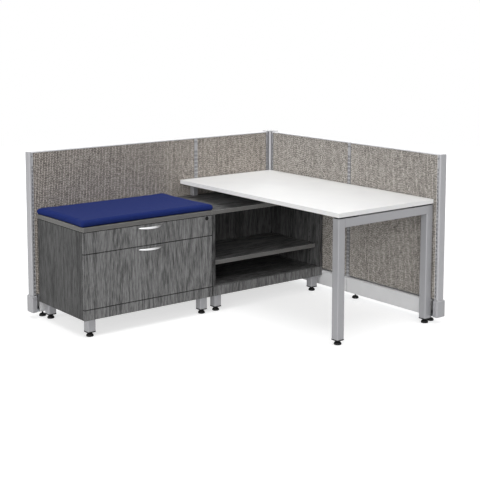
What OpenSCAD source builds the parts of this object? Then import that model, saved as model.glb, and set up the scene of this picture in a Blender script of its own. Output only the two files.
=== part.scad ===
// Open-plan workstation: an L of fabric-faced partition panels, a desk on one end leg,
// an open bookcase unit, and a lateral file unit with a seat cushion on top.
// X runs along the back partition to the right, Y runs to the back, Z is up, floor at zero.

/* [Partition] */
// Thickness of every partition panel
panel_t = 56; // [44:1:76]
// Height of the partition over the floor
panel_top = 1017; // [860:1:1400]
// How far the back run reaches past the storage units
back_run_past = 40; // [20:1:400]
// Panel joint of the back run, from the inner corner
back_joint = 635; // [420:1:900]
// How far the right run reaches past the desk
right_run_past = 42; // [21:1:400]
// Panel joint of the right run, from the inner corner
right_joint = 799; // [500:1:1000]
// Distance from the inner corner to the first panel of each run
post_gap = 22; // [20:0.5:34]
// Width of a slotted standard
standard_w = 13; // [11:0.5:20]
// Thickness of the trim on a free panel end
end_trim_t = 12; // [6:0.5:20]
// Thickness of a fabric tile
tile_t = 12; // [8:0.5:16]
// Thickness of the top cap
cap_t = 6; // [5:0.5:12]

/* [Slots] */
// Distance between two bracket slots
slot_pitch = 25.4; // [20:0.1:40]
// Length of a bracket slot
slot_len = 14; // [8:0.5:16]
// Width of a bracket slot
slot_w = 3.8; // [2:0.1:5]
// Top of the partition to the first slot
slot_first = 85; // [60:1:200]
// Diameter of the locating hole over the slots
pilot_d = 9; // [5:0.5:10]

/* [Raceway] */
// Underside of the raceway over the floor
raceway_z = 37; // [30:0.5:60]
// Height of the raceway
raceway_h = 102; // [70:1:140]
// How far a raceway cover stands off the panel face
cover_out = 8; // [5:0.5:9]
// Length of an end cap along the run
end_cap_len = 32; // [24:1:60]
// Open gap between the last cover and the end cap
cover_stop_gap = 16; // [4:1:40]

/* [Desk] */
// Width of the desk top
desk_w = 762; // [600:1:860]
// Length of the desk top along the right run
desk_l = 1524; // [1200:1:1550]
// Thickness of the desk top
desk_t = 25.4; // [18:0.1:38]
// Height of the riser posts between the bookcase and the desk top
riser_h = 82.9; // [40:0.1:160]
// Side of the square leg tube
leg_tube = 51; // [40:1:70]
// Height of the dark spacer between leg frame and desk top
spacer_h = 8; // [4:0.5:12]
// Side of the square riser posts on the bookcase
riser_tube = 40; // [25:1:50]

/* [Storage] */
// Width of the lateral file unit
lateral_w = 898; // [700:1:920]
// Width of the open bookcase unit
open_w = 908; // [800:1:920]
// Depth of both storage units
storage_d = 548; // [450:1:620]
// Height of both storage units
storage_h = 641; // [600:1:720]
// Thickness of the laminated boards
board_t = 25; // [18:0.5:28]
// Thickness of drawer fronts and toe rails
front_t = 19; // [16:0.5:22]
// Underside of the storage boards over the floor
base_z = 104; // [90:1:130]
// Height of the toe rail
toe_h = 60; // [45:1:80]
// Height of the upper drawer front
upper_front_h = 123; // [110:1:160]
// Gap around a drawer front
reveal = 3.5; // [2:0.5:5]
// Top surface of the loose shelf
shelf_z = 315; // [250:1:450]
// How far the loose shelf lies behind the unit's front
shelf_inset = 39; // [5:1:80]
// Distance between two rows of shelf pin holes
pin_pitch = 32; // [25:1:40]

/* [Drawer handles] */
// Width of an arc handle
handle_w = 164; // [120:1:200]
// How far the handle bows out
handle_bow = 28; // [24:1:36]
// Height of the handle bar at its middle
handle_h = 13; // [10:0.5:16]
// Thickness of the bar at its middle
handle_t = 8; // [6:0.5:10]

/* [Lock] */
// Diameter of the lock's black bezel
bezel_d = 24; // [20:0.5:28]
// Diameter of the turning plug
plug_d = 11; // [8:0.5:13]

/* [Seat cushion] */
// How far the cushion reaches over the bookcase
cushion_over = 19.5; // [0:0.5:60]
// How far the cushion lies behind the unit's front
cushion_front_inset = 8; // [0:0.5:60]
// Thickness of the cushion at its rim
cushion_t = 32; // [25:1:60]
// Extra height at the cushion's middle
cushion_crown = 6; // [0:0.5:12]

/* [Hidden] */

$fn = 48;
silver = [0.69, 0.69, 0.70];
light_silver = [0.80, 0.80, 0.80];
fabric_grey = [0.54, 0.52, 0.48];
core_tan = [0.72, 0.66, 0.54];
laminate = [0.40, 0.40, 0.39];
drawer_grey = [0.62, 0.62, 0.62];
black = [0.06, 0.06, 0.06];
nickel = [0.78, 0.77, 0.74];
zinc = [0.64, 0.66, 0.68];
white_top = [0.93, 0.93, 0.93];
blue_fabric = [0.12, 0.18, 0.46];

// One overrun for every cut
cut = 1;
// Clearance of pieces that only lie close together
near = 0.3;

// Both runs are as long as what stands along them
desk_back_gap = 5;
back_run = cover_out + open_w + lateral_w + back_run_past;
right_run = desk_back_gap + desk_l + right_run_past;

// Where the inner corner of the partition lies, so that the origin is under the middle
end_cap_out = 5;
left_reach = back_run + end_cap_out;
front_reach = right_run + end_cap_out;
outer_reach = panel_t + cover_out;
corner_x = (left_reach - outer_reach) / 2;
corner_y = (front_reach - outer_reach) / 2;

module from_corner() {
  translate([corner_x, corner_y, 0]) children();
}

// A run draws along its own +X, from the inner corner, with +Y through the panel
module on_back(along) {
  from_corner() mirror([1, 0, 0]) translate([along, 0, 0]) children();
}

module on_right(along) {
  from_corner() rotate([0, 0, -90]) translate([along, 0, 0]) children();
}

// Lengths of the four panels
back_narrow_len = back_joint - post_gap;
back_wide_len = back_run - end_trim_t - back_joint;
right_rear_len = right_joint - post_gap;
right_front_len = right_run - end_trim_t - right_joint;

// Panel section
frame_top = panel_top - cap_t;
tile_gap = 0.6;
web_w = 14;
rail_h = 26;
tile_lift = 8;
tile_bottom = raceway_z + raceway_h + tile_lift;
frame_depth = panel_t - 2 * tile_t;
standard_wall = 1.6;
pilot_drop = 27;
pilot_depth = 3;

// A frame is the ring behind the tiles, set between the two standards
module panel_frame(len) {
  ring_l = len - 2 * standard_w;
  ring_h = frame_top - tile_bottom;
  translate([standard_w, tile_t, tile_bottom]) difference() {
    cube([ring_l, frame_depth, ring_h]);
    translate([web_w, -cut, rail_h])
      cube([ring_l - 2 * web_w, frame_depth + 2 * cut, ring_h - 2 * rail_h]);
  }
}

// A core board fills the ring and stiffens the panel
module panel_core(len) {
  translate([standard_w + web_w, tile_t, tile_bottom + rail_h])
    cube([
      len - 2 * (standard_w + web_w),
      frame_depth,
      frame_top - tile_bottom - 2 * rail_h
    ]);
}

// A hollow standard, with bracket slots down both faces under one locating hole
module standard() {
  slot_span = panel_top - slot_first - tile_bottom - slot_len;
  slots = floor(slot_span / slot_pitch);
  slot_cut = standard_wall + cut;
  difference() {
    translate([0, 0, raceway_z]) cube([standard_w, panel_t, frame_top - raceway_z]);
    translate([standard_wall, standard_wall, raceway_z - cut]) cube([
      standard_w - 2 * standard_wall,
      panel_t - 2 * standard_wall,
      frame_top - raceway_z + 2 * cut
    ]);
    for (face = [0, panel_t]) {
      for (i = [0:slots])
        translate([
          (standard_w - slot_w) / 2,
          face - slot_cut,
          panel_top - slot_first - slot_len - i * slot_pitch
        ]) cube([slot_w, 2 * slot_cut, slot_len]);
      translate([standard_w / 2, face, panel_top - pilot_drop])
        rotate([90, 0, 0]) cylinder(d = pilot_d, h = 2 * pilot_depth, center = true);
    }
  }
}

module standards(len) {
  for (place = [0, len - standard_w])
    translate([place, 0, 0]) standard();
}

// One fabric-wrapped tile on each face
module tiles(len) {
  for (face = [0, panel_t - tile_t])
    translate([standard_w + tile_gap, face, tile_bottom])
      cube([len - 2 * (standard_w + tile_gap), tile_t, frame_top - tile_bottom - tile_gap]);
}

// Top cap with a groove that covers the joint plates
plate_t = 2;
plate_w = 30;
plate_reach = 45;
groove_d = plate_t + near;
groove_w = plate_w + 4 * near;
cap_edge_r = 2;

module cap_section() {
  difference() {
    union() {
      square([panel_t, cap_t - cap_edge_r]);
      translate([cap_edge_r, 0]) square([panel_t - 2 * cap_edge_r, cap_t]);
      for (side = [cap_edge_r, panel_t - cap_edge_r])
        translate([side, cap_t - cap_edge_r]) circle(r = cap_edge_r);
    }
    translate([(panel_t - groove_w) / 2, -cut]) square([groove_w, groove_d + cut]);
  }
}

module top_cap(len) {
  translate([0, 0, frame_top]) rotate([90, 0, 90]) linear_extrude(len) cap_section();
}

module joint_plate(len) {
  translate([-len / 2, (panel_t - plate_w) / 2, frame_top]) cube([len, plate_w, plate_t]);
}

// Corner post: a square body with a narrow diagonal nose in the inner corner
nose_w = 12;
nose_reach = 3;
recess_d = 14;
nose_half = nose_w / 2 / sqrt(2);

module corner_outline() {
  back_end = nose_reach + nose_half;
  front_end = nose_reach - nose_half;
  polygon([
    [-post_gap, recess_d],
    [-back_end, recess_d],
    [-back_end, -front_end],
    [-front_end, -back_end],
    [recess_d, -back_end],
    [recess_d, -post_gap],
    [panel_t, -post_gap],
    [panel_t, panel_t],
    [-post_gap, panel_t]
  ]);
}

corner_cap_rise = 3;

// Raceway cover: a formed strip with a sloped top and a lip that turns under
cover_t = 1.6;
cover_slope = 6;
lip_h = 11;
lip_in = 3;

module cover_section() {
  inner = cover_out - cover_t;
  top = raceway_h;
  polygon([
    [0, top],
    [0, top - cover_t],
    [-inner, top - cover_slope - cover_t],
    [-inner, lip_h],
    [lip_in - inner, lip_h - cover_t],
    [lip_in - inner, cover_t],
    [0, cover_t],
    [0, 0],
    [lip_in - cover_out, 0],
    [lip_in - cover_out, lip_h - cover_t],
    [-cover_out, lip_h],
    [-cover_out, top - cover_slope]
  ]);
}

module cover(len) {
  translate([0, 0, raceway_z]) rotate([90, 0, 90]) linear_extrude(len) cover_section();
}

module cover_pair(inner_from, inner_to, outer_from, outer_to) {
  translate([inner_from, 0, 0]) cover(inner_to - inner_from);
  translate([outer_from, panel_t, 0]) mirror([0, 1, 0]) cover(outer_to - outer_from);
}

// Tray between the standards that ties their lower ends and takes the glides
tray_t = 3;
tray_lip = 18;
glide_inset = 45;
far_glide_inset = 68;
stem_d = 10;
stem_clear = 0.3;

// The long panels stand on two glides, the short ones on one beside the corner
one_glide = [glide_inset];
function two_glides(len) = [glide_inset, len - far_glide_inset];

module tray(len, glides) {
  span = len - 2 * standard_w;
  difference() {
    translate([standard_w, cover_t, raceway_z]) difference() {
      cube([span, panel_t - 2 * cover_t, tray_lip]);
      translate([-cut, tray_t, tray_t])
        cube([span + 2 * cut, panel_t - 2 * cover_t - 2 * tray_t, tray_lip]);
    }
    for (place = glides)
      translate([place, panel_t / 2, raceway_z - cut])
        cylinder(d = stem_d + 2 * stem_clear, h = tray_t + 2 * cut);
  }
}

// Raceway end cap: a moulded shoe round the foot of the last standard
end_cap_r = 6;

module end_cap() {
  outer_w = panel_t + 2 * cover_out;
  straight = end_cap_len - end_cap_r;
  wall_end = end_cap_len - end_cap_out - end_trim_t + near;
  chamfer = cover_out - cover_t;
  translate([-(end_cap_len - end_cap_out), -cover_out, raceway_z]) difference() {
    intersection() {
      rotate([90, 0, 90]) linear_extrude(end_cap_len) polygon([
        [0, 0],
        [outer_w, 0],
        [outer_w, raceway_h - chamfer],
        [outer_w - chamfer, raceway_h],
        [chamfer, raceway_h],
        [0, raceway_h - chamfer]
      ]);
      translate([0, outer_w, 0]) rotate([90, 0, 0]) linear_extrude(outer_w) polygon([
        [0, 0],
        [end_cap_len, 0],
        [end_cap_len, raceway_h - end_cap_out],
        [end_cap_len - end_cap_out, raceway_h],
        [0, raceway_h]
      ]);
      linear_extrude(raceway_h) {
        square([straight, outer_w]);
        translate([0, end_cap_r]) square([end_cap_len, outer_w - 2 * end_cap_r]);
        for (y = [end_cap_r, outer_w - end_cap_r]) translate([straight, y]) circle(r = end_cap_r);
      }
    }
    translate([-cut, cover_out - near, -cut])
      cube([wall_end + cut, panel_t + 2 * near, raceway_h + 2 * cut]);
  }
}

// Levelling glide: a thick domed foot under a threaded stem
glide_d = 44;
glide_rim = 7;
glide_dome = 12;

module glide(total, stem_up) {
  neck = stem_d / 2;
  rotate_extrude() polygon([
    [0, 0],
    [glide_d / 2 - glide_rim / 4, 0],
    [glide_d / 2, glide_rim / 3],
    [glide_d / 2, glide_rim],
    [glide_d * 0.45, glide_rim + glide_dome * 0.45],
    [glide_d * 0.33, glide_rim + glide_dome * 0.82],
    [neck + glide_rim / 2, glide_rim + glide_dome],
    [neck, glide_rim + glide_dome],
    [neck, total + stem_up],
    [0, total + stem_up]
  ]);
}

// Rounded square, exact arcs
module rounded_square(side, r) {
  translate([r, 0]) square([side - 2 * r, side]);
  translate([0, r]) square([side, side - 2 * r]);
  for (x = [r, side - r])
    for (y = [r, side - r])
      translate([x, y]) circle(r = r);
}

tube_wall = 2;
tube_r = 5;

module tube(side, len) {
  linear_extrude(len) difference() {
    rounded_square(side, tube_r);
    translate([tube_wall, tube_wall]) rounded_square(side - 2 * tube_wall, tube_r - tube_wall);
  }
}

// The bookcase stands against the raceway cover, the file unit against the bookcase
storage_back_gap = 11;
open_right = -cover_out;
open_left = open_right - open_w;
lateral_right = open_left;
lateral_left = lateral_right - lateral_w;
storage_back = -storage_back_gap;
storage_front = storage_back - storage_d;
carcass_top = storage_h - board_t;
toe_top = base_z + toe_h;
case_front = storage_front + front_t;
unit_back_inset = 35;
back_t = 18;
back_face = storage_back - unit_back_inset - back_t;

module board(from, to) {
  from_corner() translate(from) cube(to - from);
}

// A lateral side stands behind the drawer fronts, grooved along its outer face under the top
side_groove = 3;

module lateral_side(left, outer) {
  difference() {
    board([left, case_front, base_z], [left + board_t, storage_back, carcass_top]);
    board(
      [outer - side_groove, case_front - cut, carcass_top - side_groove],
      [outer + side_groove, storage_back + cut, carcass_top + cut]
    );
  }
}

// Shelf pins and the holes they move between
pin_d = 5;
pin_out = 9;
pin_in = 8;
pin_inset = 60;
pin_rows = 3;
pin_clear = 0.1;
pin_z = shelf_z - board_t - pin_d / 2;
pin_places = [storage_front + shelf_inset + pin_inset, back_face - pin_inset];

// A bookcase side shows its front edge, is notched for the toe rail and drilled for the pins
module open_side(left, hole_from) {
  from_corner() difference() {
    translate([left, storage_front, base_z])
      cube([board_t, storage_d, carcass_top - base_z]);
    translate([left - cut, storage_front - cut, base_z - cut])
      cube([board_t + 2 * cut, front_t + cut, toe_h + cut]);
    for (y = pin_places)
      for (row = [-pin_rows:pin_rows])
        translate([hole_from, y, pin_z + row * pin_pitch]) rotate([0, 90, 0])
          cylinder(d = pin_d + 2 * pin_clear, h = pin_in + 2 * cut);
  }
}

// Drawer fronts
upper_front_top = carcass_top - reveal;
upper_front_bottom = upper_front_top - upper_front_h;
lower_front_top = upper_front_bottom - reveal;
lower_front_bottom = toe_top + reveal;
front_rest = 0.5;
front_side = 0.5;
drawer_mid = (lateral_left + lateral_right) / 2;

// Lock in the upper drawer front
lock_inset = 40;
lock_drop = 15;
lock_x = lateral_right - lock_inset;
lock_z = upper_front_top - lock_drop;
bezel_t = 2;
barrel_d = 16;
barrel_clear = 0.2;
plug_clear = 0.05;
key_w = 1.6;
key_h = 8;
key_depth = 10;
strike_t = 2;
strike_gap = 3;
strike_clear = 1;
strike_bottom = lock_z + barrel_d / 2 + strike_clear;
strike_w = 60;
strike_foot = 20;
strike_back = case_front + strike_gap + strike_t;
strike_right = lateral_right - board_t - near;
cam_front = strike_back + strike_gap;
cam_t = 2.5;
cam_w = 10;
cam_clear = 1.5;
cam_reach = carcass_top - strike_t - lock_z - cam_clear;

module drawer_front(bottom, top) {
  from_corner() translate([lateral_left + front_side, storage_front, bottom])
    cube([lateral_w - 2 * front_side, front_t - front_rest, top - bottom]);
}

// Slides: three nested members on each side of a drawer
slide_h = 45;
slide_t = 12.7;
member_t = 1.6;
run_gap = 0.4;
slide_setback = 4;
slide_end_gap = 12;
slide_front = case_front + slide_setback;
slide_len = back_face - slide_end_gap - slide_front;
middle_in = member_t + run_gap;
inner_in = 2 * middle_in;

module channel(depth, half) {
  polygon([
    [0, -half],
    [depth, -half],
    [depth, member_t - half],
    [member_t, member_t - half],
    [member_t, half - member_t],
    [depth, half - member_t],
    [depth, half],
    [0, half]
  ]);
}

// Outer member opens towards the drawer, the middle one nests in it
module slide_outer_section() {
  channel(slide_t - member_t - run_gap, slide_h / 2);
}

module slide_middle_section() {
  translate([middle_in, 0]) channel(slide_t - middle_in - member_t - run_gap, slide_h / 2 - middle_in);
}

// The inner member opens the other way and is screwed to the drawer side
module slide_inner_section() {
  translate([slide_t, 0]) mirror([1, 0]) channel(slide_t - inner_in, slide_h / 2 - inner_in);
}

// One pair of members, left one as drawn and right one mirrored
module slide_pair(height) {
  left_face = lateral_left + board_t;
  for (side = [0, 1])
    from_corner() translate([drawer_mid, slide_front, height]) mirror([side, 0, 0])
      translate([left_face - drawer_mid, slide_len, 0]) rotate([90, 0, 0])
        linear_extrude(slide_len) children();
}

// Drawer boxes between the slides
box_wall = 13;
box_floor = 9;
box_lift = 12;
box_under_lock = 5;
lower_box_drop = 36;
box_left = lateral_left + board_t + slide_t;
box_right = lateral_right - board_t - slide_t;
box_back = slide_front + slide_len;
upper_box_bottom = upper_front_bottom + box_lift;
upper_box_top = lock_z - barrel_d / 2 - box_under_lock;
lower_box_bottom = lower_front_bottom + box_lift;
lower_box_top = lower_front_top - lower_box_drop;
upper_slide_z = (upper_box_bottom + upper_box_top) / 2;
lower_slide_z = (lower_box_bottom + lower_box_top) / 2;

module drawer_box(bottom, top) {
  difference() {
    board([box_left, case_front - front_rest, bottom], [box_right, box_back, top]);
    board(
      [box_left + box_wall, case_front - front_rest + box_wall, bottom + box_floor],
      [box_right - box_wall, box_back - box_wall, top + cut]
    );
  }
}

// File rails hook over the front and back walls of the lower box
rail_t = 2;
rail_drop = 22;
rail_inset = 230;

module file_rail(place) {
  from_corner() translate([place, case_front - front_rest, lower_box_top]) {
    cube([rail_t, box_back - case_front + front_rest, rail_t]);
    for (end = [box_wall, box_back - case_front + front_rest - box_wall - rail_t])
      translate([0, end, -rail_drop]) cube([rail_t, rail_t, rail_drop + cut]);
  }
}

// Arc handle: a crescent bar that thins towards its two ends, from above and from the front
handle_r = (pow(handle_w / 2, 2) + pow(handle_bow, 2)) / (2 * handle_bow);
inner_bow = handle_bow - handle_t;
inner_w = handle_w - 2 * handle_t;
inner_r = (pow(inner_w / 2, 2) + pow(inner_bow, 2)) / (2 * inner_bow);
handle_round = 3;
handle_drop = 18;
tip_h = 5;
taper = (handle_h - tip_h) / 2;
taper_r = (pow(handle_w / 2, 2) + pow(taper, 2)) / (2 * taper);

module handle_taper(side) {
  translate([0, 0, side * (taper_r - handle_h / 2)]) rotate([90, 0, 0])
    cylinder(r = taper_r, h = 2 * handle_w, center = true, $fn = 960);
}

module handle_section() {
  r = handle_round;
  translate([0, -handle_h / 2]) square([handle_r - r, handle_h]);
  translate([0, r - handle_h / 2]) square([handle_r, handle_h - 2 * r]);
  for (z = [r - handle_h / 2, handle_h / 2 - r])
    translate([handle_r - r, z]) circle(r = r);
}

module handle(height) {
  from_corner() translate([drawer_mid, storage_front, height]) difference() {
    intersection() {
      translate([0, handle_r - handle_bow, 0]) rotate_extrude($fn = 96) handle_section();
      translate([-handle_w, -handle_w, -handle_h]) cube([2 * handle_w, handle_w, 2 * handle_h]);
      handle_taper(-1);
      handle_taper(1);
    }
    translate([0, inner_r - inner_bow, -handle_h]) cylinder(r = inner_r, h = 2 * handle_h, $fn = 96);
  }
}

// Feet under both units
foot_side = 29;
foot_front = 14;
glide_h = 26;
cap_plate = 6;
cap_lip = 1;
foot_bottom = glide_h + cap_plate;
boss_h = 10;
boss_d = 26;
block_side = 60;
foot_left_places = [
  lateral_left + foot_side,
  lateral_right - foot_side - leg_tube,
  open_left + foot_side,
  open_right - foot_side - leg_tube
];
foot_front_places = [storage_front + foot_front, storage_back - foot_front - leg_tube];

// Desk and its leg frame
desk_side_gap = 6;
desk_right = -desk_side_gap;
desk_left = desk_right - desk_w;
desk_back = -desk_back_gap;
desk_front = desk_back - desk_l;
desk_under = storage_h + riser_h;
desk_corner_r = 3;
leg_side_gap = 9.5;
leg_right = -leg_side_gap;
frame_z = desk_under - spacer_h;
leg_places = [desk_left, leg_right - leg_tube];
spacer_l = 150;
spacer_inset = 6;

// Riser posts that carry the back of the desk
riser_inset = 76;
riser_back = 2;
riser_plate = 78;
riser_plate_t = 4;
riser_places = [desk_left + riser_inset, desk_right - riser_inset - riser_tube];

// Every place that holds a tube cap and a glide
module at_feet() {
  for (x = foot_left_places)
    for (y = foot_front_places)
      from_corner() translate([x, y, 0]) children();
}

module at_all_tubes() {
  at_feet() children();
  for (x = leg_places)
    from_corner() translate([x, desk_front, 0]) children();
}

// Seat cushion, a closed pad with a crown and drawn-in sides
cushion_overhang = 3.5;
cushion_back_gap = 3;
cushion_left = lateral_left - cushion_overhang;
cushion_w = cushion_overhang + lateral_w + cushion_over;
cushion_front = storage_front + cushion_front_inset;
cushion_d = -cushion_back_gap - cushion_front;
cushion_corner = 14;
cushion_edge = 10;
cushion_pull = 4;
arc_steps = 6;
edge_steps = 6;
edge_rings = 4;
crown_rings = 5;

// Outline points of a rounded rectangle whose sides are drawn in between the corners
function pad_outline() = [
  for (q = [0:3])
    let (
      sx = (q == 0 || q == 3) ? 1 : -1,
      sy = q < 2 ? 1 : -1,
      nx = q == 0 ? -1 : q == 2 ? 1 : 0,
      ny = q == 1 ? -1 : q == 3 ? 1 : 0,
      reach_x = cushion_w / 2 - cushion_corner,
      reach_y = cushion_d / 2 - cushion_corner,
      run = nx != 0 ? 2 * reach_x : 2 * reach_y
    )
      each [
        for (i = [0:arc_steps])
          let (a = 90 * q + 90 * i / arc_steps)
            [sx * reach_x + cushion_corner * cos(a), sy * reach_y + cushion_corner * sin(a)],
        for (i = [1:edge_steps])
          let (
            s = i / (edge_steps + 1),
            pull = 4 * cushion_pull * s * (1 - s),
            out = [cos(90 * (q + 1)), sin(90 * (q + 1))]
          )
            [sx * reach_x + nx * s * run, sy * reach_y + ny * s * run]
              + out * (cushion_corner - pull)
      ]
];

// Each ring is a share of the outline's reach, an inset and a height
function pad_rings() = concat(
  [for (i = [0:edge_rings])
    let (a = 90 * i / edge_rings)
      [1, cushion_edge * (1 - sin(a)), cushion_edge * (1 - cos(a))]],
  [for (i = [0:edge_rings])
    let (a = 90 * i / edge_rings)
      [1, cushion_edge * (1 - cos(a)), cushion_t - cushion_edge * (1 - sin(a))]],
  [for (i = [1:crown_rings])
    let (s = 1 - i / (crown_rings + 1))
      [s, cushion_edge, cushion_t + cushion_crown * (1 - s * s)]]
);

function inset_point(p, inset) = [
  p[0] * (1 - 2 * inset / cushion_w),
  p[1] * (1 - 2 * inset / cushion_d)
];

module cushion_solid() {
  outline = pad_outline();
  rings = pad_rings();
  n = len(outline);
  m = len(rings);
  points = concat(
    [for (ring = rings) for (p = outline)
      let (q = inset_point(p, ring[1])) [q[0] * ring[0], q[1] * ring[0], ring[2]]],
    [[0, 0, 0], [0, 0, cushion_t + cushion_crown]]
  );
  sides = [for (k = [0:m - 2]) for (i = [0:n - 1])
    let (j = (i + 1) % n)
      each [
        [k * n + i, (k + 1) * n + i, (k + 1) * n + j],
        [k * n + i, (k + 1) * n + j, k * n + j]
      ]];
  base = [for (i = [0:n - 1]) [m * n, i, (i + 1) % n]];
  crown = [for (i = [0:n - 1]) [m * n + 1, (m - 1) * n + (i + 1) % n, (m - 1) * n + i]];
  polyhedron(points, concat(sides, base, crown), convexity = 4);
}

// Partition

module back_panel_frames() {
  color(silver) {
    on_back(post_gap) panel_frame(back_narrow_len);
    on_back(back_joint) panel_frame(back_wide_len);
  }
}

module right_panel_frames() {
  color(silver) {
    on_right(post_gap) panel_frame(right_rear_len);
    on_right(right_joint) panel_frame(right_front_len);
  }
}

module back_panel_standards() {
  color(silver) {
    on_back(post_gap) standards(back_narrow_len);
    on_back(back_joint) standards(back_wide_len);
  }
}

module right_panel_standards() {
  color(silver) {
    on_right(post_gap) standards(right_rear_len);
    on_right(right_joint) standards(right_front_len);
  }
}

module panel_cores() {
  color(core_tan) {
    on_back(post_gap) panel_core(back_narrow_len);
    on_back(back_joint) panel_core(back_wide_len);
    on_right(post_gap) panel_core(right_rear_len);
    on_right(right_joint) panel_core(right_front_len);
  }
}

module back_wide_tiles() {
  color(fabric_grey) on_back(back_joint) tiles(back_wide_len);
}

module back_narrow_tiles() {
  color(fabric_grey) on_back(post_gap) tiles(back_narrow_len);
}

module right_rear_tiles() {
  color(fabric_grey) on_right(post_gap) tiles(right_rear_len);
}

module right_front_tiles() {
  color(fabric_grey) on_right(right_joint) tiles(right_front_len);
}

module top_caps() {
  color(light_silver) {
    on_back(post_gap) top_cap(back_narrow_len);
    on_back(back_joint) top_cap(back_wide_len);
    on_right(post_gap) top_cap(right_rear_len);
    on_right(right_joint) top_cap(right_front_len);
  }
}

// Straight plates bridge the joints, an angled one ties both runs to the corner post
module joint_plates() {
  inset = (panel_t - plate_w) / 2;
  color(zinc) {
    on_back(back_joint) joint_plate(2 * plate_reach);
    on_right(right_joint) joint_plate(2 * plate_reach);
    from_corner() translate([0, 0, frame_top]) linear_extrude(plate_t) polygon([
      [-post_gap - plate_reach, inset],
      [inset, inset],
      [inset, -post_gap - plate_reach],
      [inset + plate_w, -post_gap - plate_reach],
      [inset + plate_w, inset + plate_w],
      [-post_gap - plate_reach, inset + plate_w]
    ]);
  }
}

module corner_post() {
  color(light_silver) from_corner() translate([0, 0, raceway_z])
    linear_extrude(frame_top - raceway_z) corner_outline();
}

module corner_cap() {
  groove = groove_w;
  inset = (panel_t - groove) / 2;
  color(silver) from_corner() translate([0, 0, frame_top]) difference() {
    linear_extrude(cap_t + corner_cap_rise) corner_outline();
    translate([-post_gap - cut, inset, -cut])
      cube([post_gap + cut + inset + groove, groove, groove_d + cut]);
    translate([inset, -post_gap - cut, -cut])
      cube([groove, post_gap + cut + inset + groove, groove_d + cut]);
  }
}

// End trim with well rounded outer edges
module end_trim() {
  r = 0.75 * end_trim_t;
  translate([0, 0, raceway_z + raceway_h + near])
    linear_extrude(panel_top - raceway_z - raceway_h - near) intersection() {
      square([end_trim_t, panel_t]);
      union() {
        square([end_trim_t - r, panel_t]);
        translate([0, r]) square([end_trim_t, panel_t - 2 * r]);
        for (y = [r, panel_t - r]) translate([end_trim_t - r, y]) circle(r = r);
      }
    }
}

module end_trims() {
  color(light_silver) {
    on_back(back_run - end_trim_t) end_trim();
    on_right(right_run - end_trim_t) end_trim();
  }
}

module raceway_trays() {
  color(zinc) {
    on_back(post_gap) tray(back_narrow_len, one_glide);
    on_back(back_joint) tray(back_wide_len, two_glides(back_wide_len));
    on_right(post_gap) tray(right_rear_len, one_glide);
    on_right(right_joint) tray(right_front_len, two_glides(right_front_len));
  }
}

module raceway_covers() {
  last = end_cap_len - end_cap_out + cover_stop_gap;
  split = 1;
  color(light_silver) {
    on_back(0) cover_pair(post_gap, back_joint - split, post_gap, back_joint - split);
    on_back(0) cover_pair(back_joint + split, back_run - last, back_joint + split, back_run - last);
    on_right(0) cover_pair(post_gap, right_joint - split, post_gap, right_joint - split);
    on_right(0)
      cover_pair(right_joint + split, right_run - last, right_joint + split, right_run - last);
  }
}

// Angled cover round the outer side of the corner post
module raceway_corner_cover() {
  reach = post_gap - near;
  outer = panel_t + cover_out;
  color(light_silver) from_corner() translate([0, 0, raceway_z]) linear_extrude(raceway_h)
    polygon([
      [-reach, panel_t],
      [panel_t, panel_t],
      [panel_t, -reach],
      [outer, -reach],
      [outer, outer],
      [-reach, outer]
    ]);
}

module raceway_end_caps() {
  color(light_silver) {
    on_back(back_run) end_cap();
    on_right(right_run) end_cap();
  }
}

module glides_under(glides) {
  for (place = glides)
    translate([place, panel_t / 2, 0]) glide(raceway_z, tray_lip);
}

module panel_glides() {
  color(black) {
    on_back(post_gap) glides_under(one_glide);
    on_back(back_joint) glides_under(two_glides(back_wide_len));
    on_right(post_gap) glides_under(one_glide);
    on_right(right_joint) glides_under(two_glides(right_front_len));
  }
}

// Lateral file unit

module lateral_top() {
  color(laminate) board(
    [lateral_left, storage_front, carcass_top],
    [lateral_right, storage_back, storage_h]
  );
}

module lateral_left_side() {
  color(laminate) lateral_side(lateral_left, lateral_left);
}

module lateral_right_side() {
  color(laminate) lateral_side(lateral_right - board_t, lateral_right);
}

module lateral_back() {
  color(laminate) board(
    [lateral_left + board_t, back_face, toe_top],
    [lateral_right - board_t, back_face + back_t, carcass_top]
  );
}

module lateral_bottom() {
  color(laminate) board(
    [lateral_left + board_t, case_front, toe_top - board_t],
    [lateral_right - board_t, storage_back, toe_top]
  );
}

module lateral_toe_rail() {
  color(laminate) board(
    [lateral_left, storage_front, base_z],
    [lateral_right, case_front, toe_top]
  );
}

module upper_drawer_front() {
  color(laminate) difference() {
    drawer_front(upper_front_bottom, upper_front_top);
    from_corner() translate([lock_x, storage_front - cut, lock_z]) rotate([-90, 0, 0])
      cylinder(d = barrel_d + 2 * barrel_clear, h = front_t + 2 * cut);
  }
}

module upper_drawer_box() {
  color(drawer_grey) drawer_box(upper_box_bottom, upper_box_top);
}

module upper_handle() {
  color(nickel) handle(upper_front_top - handle_drop);
}

module lower_drawer_front() {
  color(laminate) drawer_front(lower_front_bottom, lower_front_top);
}

module lower_drawer_box() {
  color(drawer_grey) drawer_box(lower_box_bottom, lower_box_top);
}

module lower_handle() {
  color(nickel) handle(lower_front_top - handle_drop);
}

module file_rails() {
  color(zinc) {
    file_rail(box_left + rail_inset);
    file_rail(box_right - rail_inset - rail_t);
  }
}

module upper_slide_outer() {
  color(zinc) slide_pair(upper_slide_z) slide_outer_section();
}

module upper_slide_middle() {
  color(zinc) slide_pair(upper_slide_z) slide_middle_section();
}

module upper_slide_inner() {
  color(zinc) slide_pair(upper_slide_z) slide_inner_section();
}

module lower_slide_outer() {
  color(zinc) slide_pair(lower_slide_z) slide_outer_section();
}

module lower_slide_middle() {
  color(zinc) slide_pair(lower_slide_z) slide_middle_section();
}

module lower_slide_inner() {
  color(zinc) slide_pair(lower_slide_z) slide_inner_section();
}

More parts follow.
